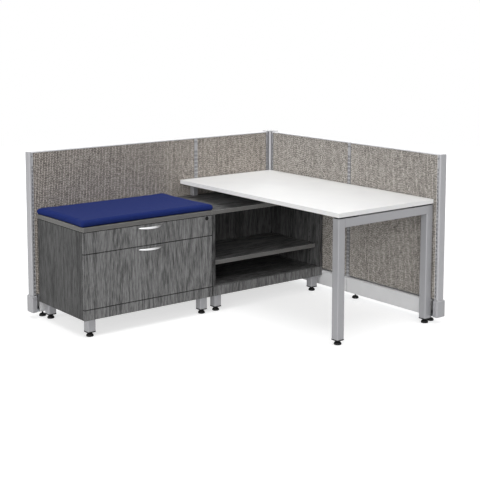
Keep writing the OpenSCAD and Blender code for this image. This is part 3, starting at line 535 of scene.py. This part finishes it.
# One fabric in two copies: the rear copy is painted lighter than the side copy, to make up for the
# lamps, which light the rear run less.
lightened_rear_fabric = nubby_fabric(
    "taupe_nubby_fabric_rear", srgb(84, 79, 74), srgb(147, 140, 133), srgb(206, 198, 189))
side_fabric = nubby_fabric(
    "taupe_nubby_fabric_side", srgb(80, 76, 72), srgb(138, 133, 127), srgb(202, 196, 189))
for name, through, fabric in (
        ("back_wide_tiles", 1, lightened_rear_fabric), ("back_narrow_tiles", 1, lightened_rear_fabric),
        ("right_rear_tiles", 0, side_fabric), ("right_front_tiles", 0, side_fabric)):
    low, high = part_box(name)
    cloth_tiles = bmesh.new()
    for side in (0, 1):
        first, last = low.copy(), high.copy()
        if side == 0:
            last[through] = low[through] + tile_depth
        else:
            first[through] = high[through] - tile_depth
        wrapped_tile(cloth_tiles, first, last, tile_roll)
    tiles = mesh_piece(name.replace("tiles", "fabric_tiles"), cloth_tiles, fabric)
    keep_flats_flat(tiles, 90)
    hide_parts(name)
    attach(tiles, "workstation")

# Caps, trims and corner post: extruded and powder-coated strips that close the panels,
# clipped over the joint plates of zinc-plated steel.


def plated(name, colour, rough):
    """Zinc or nickel plate: brushed along one way, with a faint crystalline mottling."""
    material, tree, shader, place = new_finish(name)
    spangle = add(tree, "ShaderNodeTexVoronoi", {"Vector": place, "Scale": 90})
    brushed = add(tree, "ShaderNodeMapping", {"Vector": place, "Scale": (0.06, 1, 1)}).outputs[0]
    lines = noise_of(tree, brushed, 1500, 3)
    cell = add(tree, "ShaderNodeSeparateColor", {0: spangle.outputs["Color"]}).outputs[0]
    base = blend(tree, ramp(tree, cell, 0, 1, 0.0, 0.22), colour, srgb(226, 228, 232))
    link(tree, shader, Base_Color=base, Metallic=1.0, Normal=bump(tree, lines, 0.12, 0.0003),
         Roughness=ramp(tree, lines, 0.3, 0.7, rough - 0.06, rough + 0.08))
    return material


zinc_plate = plated("zinc_plate", srgb(172, 176, 181), 0.38)
# Painted highlight: the trims and caps get wide light edges, and the caps a lighter silver than the
# frames, for the light on their tops.
pale_coat = coated("light_silver_coat", srgb(170, 170, 173), 0.3, 0.42, wear_and_highlight_share=0.7, wear_and_highlight_width=0.003)
bright_coat = coated("cap_silver_coat", srgb(206, 206, 208), 0.25, 0.42, wear_and_highlight_share=0.7, wear_and_highlight_width=0.003)
dress(["top_caps"], bright_coat, 0.0007)
dress(["end_trims", "corner_post"], pale_coat, 0.0007)
dress(["corner_cap"], silver_coat, 0.0009)
dress(["joint_plates"], zinc_plate, 0.0004)

# Raceway: roll-formed steel covers clipped on both faces of the panel foot, a tray that
# ties the standards together, and a moulded end cap at each free end.
raceway_coat = coated("raceway_coat", srgb(222, 222, 223), 0.2, 0.45)
# Painted highlight: wide light edges on the moulded end caps.
moulded_cap = coated("moulded_end_cap", srgb(164, 164, 167), 0.2, 0.45,
                     peel=0.1, wear_and_highlight_share=0.8, wear_and_highlight_width=0.004)
dress(["raceway_covers"], raceway_coat, 0.0005)
dress(["raceway_corner_cover"], raceway_coat, 0.0012, 3)
dress(["raceway_end_caps"], moulded_cap, 0.0012, 3)
dress(["raceway_trays"], zinc_plate, 0.0004)

# Levelling glides: turned nylon feet on threaded steel stems, each with a hex nut that is
# gripped to raise or lower the workstation.
black_nylon = coated("black_nylon", srgb(13, 13, 14), 0.0, 0.6, grain=1400.0, peel=0.15,
                     wear_and_highlight_colour=(0.02, 0.02, 0.02, 1), wear_and_highlight_share=0.5, shine=0.25)


def join_rings(shape, rings, closed=False):
    """Adds faces from ring to ring, and over both ends unless the last ring joins the first."""
    sides = len(rings[0])
    for below, above in zip(rings, rings[1:] + (rings[:1] if closed else [])):
        for i in range(sides):
            j = (i + 1) % sides
            shape.faces.new((below[i], below[j], above[j], above[i]))
    if not closed:
        shape.faces.new(rings[0][::-1])
        shape.faces.new(rings[-1])


def turned(shape, centre, profile, sides=40):
    """Adds a form turned on a lathe round the vertical line through centre."""
    rings = []
    for radius, z in profile:
        ring = [shape.verts.new((
            centre[0] + radius * math.cos(2 * math.pi * i / sides),
            centre[1] + radius * math.sin(2 * math.pi * i / sides), z)) for i in range(sides)]
        rings.append(ring)
    join_rings(shape, rings)


def hex_nut(shape, centre, bottom, height, across):
    """A six-sided nut with chamfered corners."""
    corner, chamfered = across * 0.577, across * 0.52
    turned(shape, centre, [
        (chamfered, bottom), (corner, bottom + height * 0.15),
        (corner, bottom + height * 0.85), (chamfered, bottom + height)], sides=6)


def glide_feet(places, top, nut_at):
    """All glides of one kind: a domed foot, a nut and a threaded stem each."""
    dome = [(0.0185, 0.0), (0.0207, 0.0008), (0.0218, 0.0024), (0.0220, 0.0044), (0.0217, 0.0070),
            (0.0206, 0.0102), (0.0186, 0.0135), (0.0156, 0.0162), (0.0118, 0.0181),
            (0.0088, 0.0190)]
    thread = [(0.0045, 0.0), (0.005, 0.0004), (0.005, 0.0007), (0.0045, 0.0011)]
    first_thread, pitch = 0.0198, 0.0016
    stem_radius, stem_foot, stem_sides = 0.0046, 0.018, 20
    nut_height, nut_across = 0.005, 0.014
    feet = bmesh.new()
    for place in places:
        turned(feet, place, dome)
        turned(feet, place, [(stem_radius, stem_foot), (stem_radius, top)], stem_sides)
        hex_nut(feet, place, nut_at, nut_height, nut_across)
        for k in range(int((top - first_thread) / pitch)):
            z = first_thread + k * pitch
            turned(feet, place, [(radius, z + rise) for radius, rise in thread], stem_sides)
    return feet


def standing_places(node):
    """Where each separate foot of a CAD node stands: the middle of every cluster of points."""
    one_foot = 0.06
    clusters = []
    for vertex in nodes[node].data.vertices:
        for cluster in clusters:
            if (cluster[0] - vertex.co.xy).length < one_foot:
                cluster.append(vertex.co.xy.copy())
                break
        else:
            clusters.append([vertex.co.xy.copy()])
    places = []
    for cluster in clusters:
        xs, ys = [point.x for point in cluster], [point.y for point in cluster]
        places.append(((min(xs) + max(xs)) / 2, (min(ys) + max(ys)) / 2))
    return places


for node, name, nut_at in (("panel_glides", "panel_glide_feet", 0.0300),
                           ("levelling_glides", "tube_glide_feet", 0.0205)):
    glides = glide_feet(standing_places(node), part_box(node)[1].z, nut_at)
    feet = mesh_piece(name, glides, black_nylon)
    keep_flats_flat(feet, 70)
    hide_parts(node)
    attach(feet, "workstation")

# Feet of the storage units: short square tubes under both ends, closed by a nylon cap that
# takes the glide, and wooden blocks that carry the unit's bottom board.
dress(["storage_feet"], silver_coat)
dress(["tube_caps"], black_nylon)
dress(["foot_blocks"], raw_board, 0.0008)

# Storage boards: 25 mm chipboard under a grey driftwood laminate, with matching edge bands.
# The grain stands upright on fronts, sides and toe rails and runs lengthwise on the flat boards.


def make_driftwood():
    """Wood figure along the grain: broad bands, heartwood rings, streaks, short lines, hairs,
    fine scratches and open pores."""
    tree, given, gives = effect(
        "driftwood_grain", [("Place", "v", None), ("Grain", "v", None), ("Offset", "v", None)],
        [("Shade", "f"), ("Pores", "f"), ("Height", "f")])

    def vector(operation, first, second):
        both = {0: first, 1: second}
        return add(tree, "ShaderNodeVectorMath", both, operation=operation).outputs[0]

    def stretched(by):
        """The place drawn out along the grain. The greater by is, the shorter a mark comes out."""
        shorter = vector("MULTIPLY", given["Grain"], (by, by, by))
        return vector("MULTIPLY", bent, vector("MINIMUM", shorter, (1, 1, 1)))

    place = vector("ADD", given["Place"], given["Offset"])
    warp = ramp(tree, noise_of(tree, place, 2.5, 2), 0, 1, -0.006, 0.006)
    push = add(tree, "ShaderNodeCombineXYZ", {0: warp, 1: warp, 2: warp})
    bent = vector("ADD", place, push.outputs[0])
    band = noise_of(tree, stretched(0.6), 16, 2)
    streak = noise_of(tree, stretched(0.8), 85, 2)
    line = noise_of(tree, stretched(2.4), 210, 2)
    hair = noise_of(tree, stretched(1.6), 460, 3)
    scratch = noise_of(tree, stretched(0.9), 1500, 2)
    heart = maths(tree, "MULTIPLY", noise_of(tree, stretched(5.0), 2.6, 1), 190.0)
    figure = maths(tree, "MULTIPLY", maths(tree, "SINE", heart, None), 0.5)
    figure = maths(tree, "ADD", figure, 0.5)
    shade = weighted(tree, 0.5, (
        (band, 0.5, 0.7), (figure, 0.5, 0.24), (streak, 0.5, 0.55),
        (line, 0.5, 1.6), (hair, 0.5, 1.4), (scratch, 0.5, 1.1)))
    pores = ramp(tree, noise_of(tree, stretched(1.8), 700, 2), 0.62, 0.70)
    tree.links.new(shade, gives["Shade"])
    tree.links.new(pores, gives["Pores"])
    tree.links.new(maths(tree, "SUBTRACT", hair, pores), gives["Height"])
    return tree


driftwood = make_driftwood()
upright, lengthwise = (1, 1, 0.028), (0.028, 0.40, 1)
rim_width, rim_amount = 0.0038, 1.8
# Rim colours: a near-black line of painted shade for fronts and sides, and a light line of painted
# highlight for flat boards.
reveal_shade_line, rim_highlight = srgb(22, 22, 22), srgb(166, 165, 163)
pore_grey, band_grey, joint_shade_dark = srgb(44, 44, 43), srgb(116, 115, 113), srgb(8, 8, 8)


def laminate(name, along, dark, light, rim, offset):
    """Printed laminate: soft grey bands, fine streaks and open pores under a matt film. The rim is
    the narrow line along its corners: near black on fronts and sides, as painted shade in the
    reveals, and light on flat boards, as a painted highlight. On flat boards the band itself is
    plain grey."""
    material, tree, shader, place = new_finish(name)
    wood = add(tree, "ShaderNodeGroup", {
        "Place": place, "Grain": along, "Offset": offset}, node_tree=driftwood)
    corner = add(tree, "ShaderNodeGroup", {
        "Place": place, "Width": rim_width, "Amount": rim_amount}, node_tree=edge_wear_and_highlight)
    face = blend(tree, ramp(tree, wood.outputs["Shade"], 0.15, 0.85), dark, light)
    face = blend(tree, maths(tree, "MULTIPLY", wood.outputs["Pores"], 0.55), face, pore_grey)
    if along == lengthwise:
        normal = add(tree, "ShaderNodeNewGeometry").outputs["True Normal"]
        tilt = add(tree, "ShaderNodeSeparateXYZ", {0: normal}).outputs["Z"]
        on_edge = ramp(tree, maths(tree, "ABSOLUTE", tilt, None), 0.6, 0.4)
        face = blend(tree, maths(tree, "MULTIPLY", on_edge, 0.8), face, band_grey)
    # Painted shade: the laminate turns near black where boards meet and in the reveals.
    base = paint_joint_shade(tree, blend(tree, corner.outputs["Mask"], face, rim), joint_shade_dark, 1.0)
    link(tree, shader, Base_Color=base, Specular_IOR_Level=0.15,
         Normal=bump(tree, wood.outputs["Height"], 0.22, 0.0004),
         Roughness=ramp(tree, wood.outputs["Shade"], 0.3, 0.7, 0.56, 0.66))
    return material


front_laminate = laminate("driftwood_fronts", upright, srgb(80, 80, 80), srgb(140, 140, 140),
                          reveal_shade_line, (0.31, 0.0, 0.0))
# The sides and backs take a darker copy of the laminate than the fronts: painted shade, for the
# light that falls on them less.
shaded_side_laminate = laminate("driftwood_sides", upright, srgb(42, 42, 42), srgb(98, 98, 98),
                         reveal_shade_line, (0.0, 1.7, 0.0))
flat_laminate = laminate("driftwood_flats", lengthwise, srgb(38, 38, 38), srgb(122, 122, 122),
                         rim_highlight, (0.0, 0.4, 2.3))
dress(["lateral_toe_rail", "open_toe_rail", "upper_drawer_front", "lower_drawer_front"],
      front_laminate, 0.0007)
dress(["lateral_left_side", "lateral_right_side", "open_left_side", "open_right_side",
       "lateral_back", "open_back"], shaded_side_laminate, 0.0007)
dress(["lateral_top", "open_top", "open_shelf", "lateral_bottom", "open_bottom"],
      flat_laminate, 0.0008)
dress(["shelf_pins"], zinc_plate)

# Drawers: boxes of grey coated board screwed to the laminate fronts, on three-part slides of
# zinc-plated steel, with steel rails for hanging files in the deep one.
drawer_coat = coated("drawer_box_coat", srgb(158, 158, 158), 0.0, 0.5, grain=700.0, peel=0.1)
dress(["upper_drawer_box", "lower_drawer_box"], drawer_coat, 0.001)
slide_members = [f"{level}_slide_{member}" for level in ("upper", "lower")
                 for member in ("outer", "middle", "inner")]
dress(["file_rails"] + slide_members, zinc_plate, 0.0003)

# Slide screws: low zinc-plated heads with a cross recess, three to each inner slide member,
# which fix it to the side of its drawer.


def screw_head(shape, place, out):
    """A low domed head that stands on a surface facing out, with a cross sunk in its middle."""
    radius, height, sides = 0.0042, 0.0013, 24
    side = Vector((0, 0, 1))
    across = out.cross(side)
    rings = []
    for share, rise, cross in ((1.0, 0.0, 0), (0.97, 0.5, 0), (0.72, 0.92, 0),
                               (0.5, 1.0, 0), (0.44, 1.0, 0.6), (0.36, 0.35, 0.6)):
        ring = []
        for i in range(sides):
            turn = 2 * math.pi * i / sides
            reach = radius * share * (1 - cross * math.sin(2 * turn) ** 2)
            away = (across * math.cos(turn) + side * math.sin(turn)) * reach
            ring.append(shape.verts.new(place + out * (height * rise) + away))
        rings.append(ring)
    join_rings(shape, rings)


member_wall, screw_seat, screw_shares = 0.0016, 0.0001, (0.10, 0.42, 0.88)
for level in ("upper", "lower"):
    box_low, box_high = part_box(f"{level}_drawer_box")
    low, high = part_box(f"{level}_slide_inner")
    heads = bmesh.new()
    for share in screw_shares:
        y, z = low.y + (high.y - low.y) * share, (low.z + high.z) / 2
        left, right = box_low.x - member_wall + screw_seat, box_high.x + member_wall - screw_seat
        screw_head(heads, Vector((left, y, z)), Vector((-1, 0, 0)))
        screw_head(heads, Vector((right, y, z)), Vector((1, 0, 0)))
    screws = mesh_piece(f"{level}_slide_screws", heads, zinc_plate)
    keep_flats_flat(screws, 60)
    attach(screws, f"{level}_drawer")

# Handles and lock: die-cast crescent pulls in satin nickel, screwed on from behind, and a black
# cam lock, which a nut holds in the upper front.
satin_nickel = plated("satin_nickel", srgb(226, 226, 227), 0.34)


def arc_handle(middle, foot, height):
    """A crescent bar: an arc in plan, thick and tall at its middle, that thins to its tips."""
    width, bow, deep, foot_run, tall, tip = 0.164, 0.028, 0.0078, 0.0078, 0.0128, 0.0046
    half_steps, sides, squareness = 20, 20, 0.62

    def arc(half, rise, share):
        """A point of a shallow arc. Share goes from -1 at one tip to 1 at the other."""
        radius = (half ** 2 + rise ** 2) / (2 * rise)
        turn = share * math.asin(half / radius)
        return Vector((radius * math.sin(turn), max(rise - radius + radius * math.cos(turn), 0)))

    def squared(value):
        return math.copysign(abs(value) ** squareness, value)

    shape = bmesh.new()
    rings = []
    for i in range(2 * half_steps + 1):
        share = i / half_steps - 1
        front = arc(width / 2, bow, share)
        back = arc(width / 2 - foot_run, bow - deep, share)
        half = (tip + (tall - tip) * (1 - share * share)) / 2
        ring = []
        for k in range(sides):
            angle = 2 * math.pi * k / sides
            point = back.lerp(front, squared(math.cos(angle)) * 0.5 + 0.5)
            z = height + half * squared(math.sin(angle))
            ring.append(shape.verts.new((middle + point.x, foot - point.y, z)))
        rings.append(ring)
    join_rings(shape, rings)
    return shape


for level in ("upper", "lower"):
    low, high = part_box(f"{level}_handle")
    crescent = arc_handle((low.x + high.x) / 2, high.y, (low.z + high.z) / 2)
    pull = mesh_piece(f"{level}_arc_handle", crescent, satin_nickel)
    keep_flats_flat(pull, 60)
    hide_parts(f"{level}_handle")
    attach(pull, f"{level}_drawer")

lock_black = coated("lock_black", srgb(9, 9, 10), 0.0, 0.5, grain=1500.0,
                    wear_and_highlight_colour=(0.02, 0.02, 0.02, 1), shine=0.2)
plug_black = coated("lock_plug_metal", srgb(14, 14, 15), 0.0, 0.4, grain=1500.0,
                    wear_and_highlight_colour=(0.03, 0.03, 0.03, 1), shine=0.2)
dress(["lock_barrel"], lock_black)
dress(["lock_plug"], plug_black)
dress(["lock_cam", "lock_strike"], zinc_plate, 0.0003)

# Desk: a white laminated top with a white edge band, on a powder-coated end frame of welded
# square tube and two riser posts, with black nylon spacers over the frame.


def white_laminate(name):
    """Plain laminate with a matt pebbled film, only just mottled."""
    material, tree, shader, place = new_finish(name)
    skin = add(tree, "ShaderNodeGroup", {"Place": place, "Scale": 1300.0}, node_tree=orange_peel)
    shade = ramp(tree, skin.outputs["Mottle"], 0.3, 0.7, 0.0, 1.0)
    base = blend(tree, shade, srgb(238, 238, 238), srgb(242, 242, 241))
    link(tree, shader, Base_Color=base, Normal=bump(tree, skin.outputs["Height"], 0.06, 0.0003),
         Roughness=ramp(tree, skin.outputs["Mottle"], 0.3, 0.7, 0.40, 0.46))
    return material


dress(["desk_top"], white_laminate("white_laminate"), 0.0012, 3)
dress(["desk_spacers"], black_nylon, 0.0008)
dress(["desk_leg_frame", "desk_risers"], silver_coat)

# Seat cushion: a foam pad in a royal blue plain-woven cover, which has a thin sewn welt round
# its lower edge. It lies loose on the file unit.


def make_plain_weave():
    """Threads that cross on every side of the pad, a fuzz on them, and a patchy tone."""
    tree, given, gives = effect(
        "plain_weave", [("Place", "v", None), ("Threads", "f", 900.0)],
        [("Height", "f"), ("Tone", "f")])
    parts = add(tree, "ShaderNodeSeparateXYZ", {0: given["Place"]})
    waves = []
    for axis in ("X", "Y", "Z"):
        phase = maths(tree, "MULTIPLY", parts.outputs[axis], given["Threads"])
        waves.append(maths(tree, "SINE", phase, None))
    cross = maths(tree, "MULTIPLY", waves[0], maths(tree, "ADD", waves[1], waves[2]))
    fuzz = noise_of(tree, given["Place"], 1400, 3)
    height = maths(tree, "ADD", maths(tree, "MULTIPLY", cross, 0.35), fuzz)
    tree.links.new(height, gives["Height"])
    tree.links.new(noise_of(tree, given["Place"], 240, 4), gives["Tone"])
    return tree


plain_weave = make_plain_weave()


def cushion_cloth(name, deep, bright):
    """A dull plain-woven cover with very little sheen."""
    material, tree, shader, place = new_finish(name)
    weave = add(tree, "ShaderNodeGroup", {"Place": place, "Threads": 2600.0}, node_tree=plain_weave)
    base = blend(tree, ramp(tree, weave.outputs["Tone"], 0.3, 0.7), deep, bright)
    link(tree, shader, Base_Color=base, Roughness=0.88, Specular_IOR_Level=0.1,
         Sheen_Weight=0.05, Sheen_Roughness=0.4, Sheen_Tint=srgb(190, 195, 215),
         Normal=bump(tree, weave.outputs["Height"], 0.35, 0.0005))
    return material


def pad_outline(low, high, radius, pull):
    """Points round the cushion's plan: rounded corners, and sides drawn in between them."""
    steps, spacing = 10, 0.02
    corners = ((1, 1), (-1, 1), (-1, -1), (1, -1))
    middle, half = (low + high) / 2, (high - low) / 2
    points = []
    for quarter, (sx, sy) in enumerate(corners):
        cx, cy = middle.x + sx * (half.x - radius), middle.y + sy * (half.y - radius)
        for i in range(steps + 1):
            angle = math.pi / 2 * (quarter + i / steps)
            points.append((cx + radius * math.cos(angle), cy + radius * math.sin(angle)))
        nx, ny = corners[(quarter + 1) % 4]
        ex, ey = middle.x + nx * (half.x - radius), middle.y + ny * (half.y - radius)
        turn = math.pi / 2 * (quarter + 1)
        out = Vector((math.cos(turn), math.sin(turn)))
        run = Vector((ex - cx, ey - cy))
        count = int(run.length / spacing)
        for i in range(1, count):
            share = i / count
            drawn = 4 * pull * share * (1 - share)
            point = Vector((cx, cy)) + run * share + out * (radius - drawn)
            points.append((point.x, point.y))
    return points


def cushion_form(low, high, crown):
    """The cushion before it is stuffed: a boxed pad, a little smaller than it ends."""
    corner_radius, side_pull = 0.011, 0.004
    outline = pad_outline(low, high, corner_radius, side_pull)
    middle = (low + high) / 2
    thick = high.z - low.z - crown
    levels = [(0.006, 0.0), (0.0015, 0.003), (0.0, 0.010),
              (0.0, thick - 0.011), (0.0025, thick - 0.004), (0.008, thick)]
    shape = bmesh.new()
    rings = []
    for inset, z in levels:
        ring = []
        scale = Vector((1 - inset / (high.x - low.x) * 2, 1 - inset / (high.y - low.y) * 2))
        for x, y in outline:
            out = Vector((x - middle.x, y - middle.y))
            ring.append(shape.verts.new((
                middle.x + out.x * scale.x, middle.y + out.y * scale.y, low.z + z)))
        rings.append(ring)
    join_rings(shape, rings)
    return shape


def stuff(pad, low, high, give):
    """Blows the cover up as its foam fills it. No point moves further than the foam gives, and
    the sewn corners keep their place."""
    frames, corner_hold = 20, 6
    middle, half = (low + high) / 2, (high - low) / 2
    start = [vertex.co.copy() for vertex in pad.data.vertices]
    cloth = pad.modifiers.new("stuffing", "CLOTH")
    cloth.settings.quality = 5
    cloth.settings.mass = 0.3
    cloth.settings.tension_stiffness = cloth.settings.compression_stiffness = 15
    cloth.settings.bending_stiffness = 0.6
    cloth.settings.use_pressure = True
    cloth.settings.uniform_pressure_force = 4
    cloth.settings.effector_weights.gravity = 0
    for step in range(1, frames + 1):
        bpy.context.scene.frame_set(step)
    stuffed = pad.evaluated_get(bpy.context.evaluated_depsgraph_get())
    swollen = [vertex.co.copy() for vertex in stuffed.data.vertices]
    pad.modifiers.remove(cloth)
    bpy.context.scene.frame_set(1)
    for vertex, before, after in zip(pad.data.vertices, start, swollen):
        move = after - before
        if move.length > 0:
            move *= give * math.tanh(move.length / give) / move.length
        held = abs((before.x - middle.x) / half.x * (before.y - middle.y) / half.y) ** corner_hold
        move.x, move.y = move.x * (1 - held), move.y * (1 - held)
        vertex.co = before + move
        vertex.co.z = min(max(vertex.co.z, low.z), high.z)
        vertex.co.x = min(max(vertex.co.x, low.x), high.x)
        vertex.co.y = min(max(vertex.co.y, low.y), high.y)


def seam_welt(pad, low, high, height, radius):
    """A thin sewn welt round the pad, which follows the cover's side at one height."""
    steps, sides, outside = 360, 8, 2
    middle = (low + high) / 2
    probe = BVHTree.FromObject(pad, bpy.context.evaluated_depsgraph_get())
    welt = bmesh.new()
    rings = []
    for i in range(steps):
        angle = 2 * math.pi * i / steps
        out = Vector((math.cos(angle) * (high.x - low.x), math.sin(angle) * (high.y - low.y), 0))
        out.normalize()
        hit, normal = probe.ray_cast(Vector((middle.x, middle.y, height)) + out * outside, -out)[:2]
        side = Vector((normal.x, normal.y, 0)).normalized()
        ring = []
        for k in range(sides):
            turn = 2 * math.pi * k / sides
            away = side * math.cos(turn) + Vector((0, 0, math.sin(turn)))
            ring.append(welt.verts.new(hit + away * radius))
        rings.append(ring)
    join_rings(welt, rings, closed=True)
    return welt


low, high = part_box("seat_cushion")
cushion_crown, cover_give, voxel = 0.006, 0.007, 0.006
welt_height, welt_radius = 0.0095, 0.0011
royal_blue = cushion_cloth("royal_blue_cover", srgb(24, 37, 92), srgb(30, 46, 108))
cushion = mesh_piece("seat_cushion_cover", cushion_form(low, high, cushion_crown), royal_blue)
remesh = cushion.modifiers.new("remesh", "REMESH")
remesh.mode, remesh.voxel_size = "VOXEL", voxel
bpy.context.view_layer.objects.active = cushion
bpy.ops.object.modifier_apply(modifier="remesh")
middle, half = (low + high) / 2, (high - low) / 2
for vertex in cushion.data.vertices:
    u = (vertex.co.x - middle.x) / half.x
    v = (vertex.co.y - middle.y) / half.y
    share = max(0.0, (1 - abs(u) ** 3) * (1 - abs(v) ** 3))
    rise = max(0.0, (vertex.co.z - low.z) / (high.z - low.z - cushion_crown))
    vertex.co.z += cushion_crown * share * rise
stuff(cushion, low, high, cover_give)
rounder = cushion.modifiers.new("rounder", "SUBSURF")
rounder.levels = rounder.render_levels = 1
for face in cushion.data.polygons:
    face.use_smooth = True
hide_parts("seat_cushion")
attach(cushion, "workstation")
seam = seam_welt(cushion, low, high, low.z + welt_height, welt_radius)
welt = mesh_piece("seat_cushion_welt", seam, royal_blue)
welt.parent = cushion
